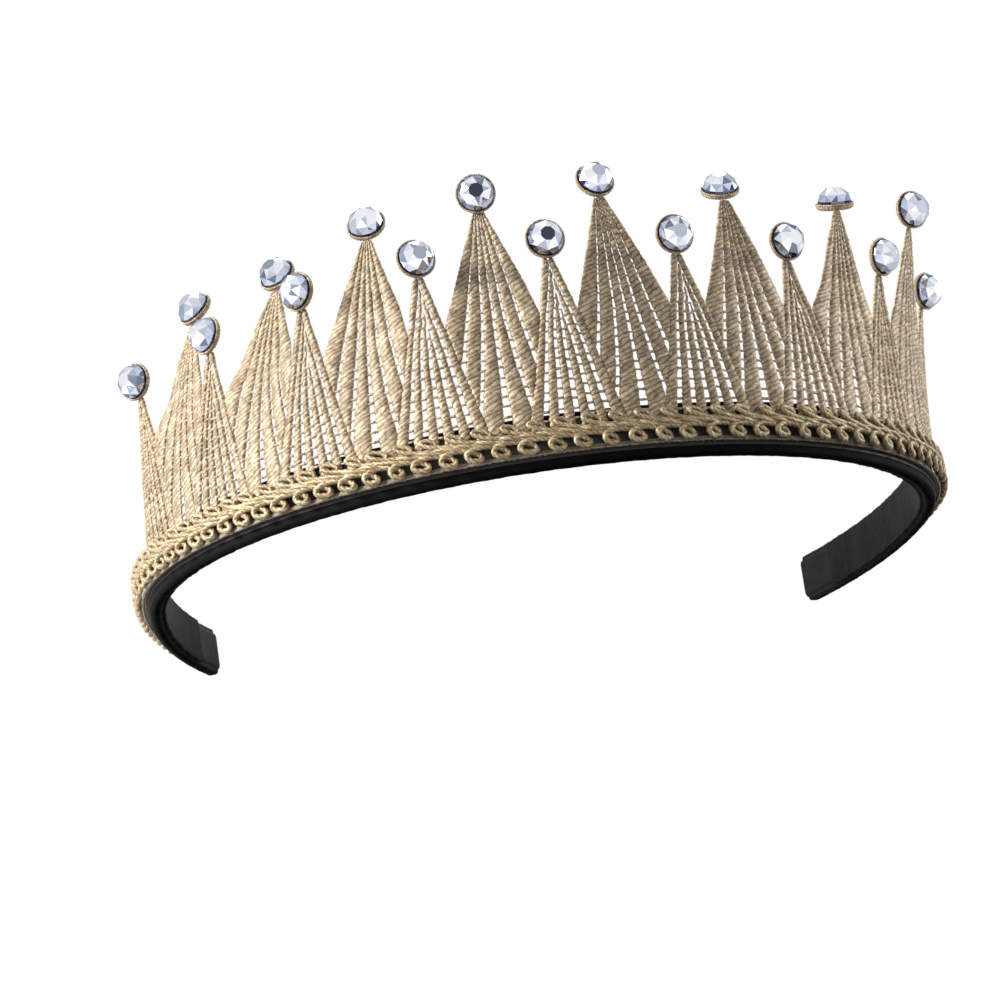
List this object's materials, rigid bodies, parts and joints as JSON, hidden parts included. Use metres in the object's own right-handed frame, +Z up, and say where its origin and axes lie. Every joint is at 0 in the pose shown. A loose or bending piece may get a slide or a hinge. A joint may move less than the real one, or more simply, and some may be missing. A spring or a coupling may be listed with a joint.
{
  "type": "lace crown headband",
  "caption": "Stiff metallic lace crown with a row of pointed spikes, a faceted crystal on each tip and a scroll braid along its foot, glued to a sprung ribbon-covered head band.",
  "frame": {"origin": "on the axis of the band's front arc, which grips the head, in the plane of the band's lower edge", "axes": "+Z up the spikes, -Y the front of the crown, +X towards the wearer's left ear"},
  "size_m": [0.1595, 0.1425, 0.0554],
  "materials": {
    "core_plastic": "satin",
    "black_ribbon": "woven satin ribbon",
    "black_velvet": "short pile velvet",
    "dried_glue": "clear dried adhesive",
    "gold_tape": "metallic woven tape",
    "gold_lace": "embroidered metallic thread",
    "gold_braid": "metallic cord gimp",
    "silver_foil": "mirror foil",
    "crystal": "faceted and polished"
  },
  "bodies": {
    "root": {"band_core": "core_plastic", "band_cover": "black_ribbon", "inner_lining": "black_velvet", "end_tab_left": "black_ribbon", "end_tab_right": "black_ribbon", "glue_film": "dried_glue", "selvedge_tape": "gold_tape", "lace_crown": "gold_lace", "braid_lower_rings": "gold_braid", "braid_core_cords": "gold_braid", "braid_upper_scallops": "gold_braid", "stone_foils": "silver_foil", "stone_glue_dots": "dried_glue", "rhinestone_01": "crystal", "rhinestone_02": "crystal", "rhinestone_03": "crystal", "rhinestone_04": "crystal", "rhinestone_05": "crystal", "rhinestone_06": "crystal", "rhinestone_07": "crystal", "rhinestone_08": "crystal", "rhinestone_09": "crystal", "rhinestone_10": "crystal", "rhinestone_11": "crystal", "rhinestone_12": "crystal", "rhinestone_13": "crystal", "rhinestone_14": "crystal", "rhinestone_15": "crystal", "rhinestone_16": "crystal", "rhinestone_17": "crystal"}
  },
  "joints": []
}
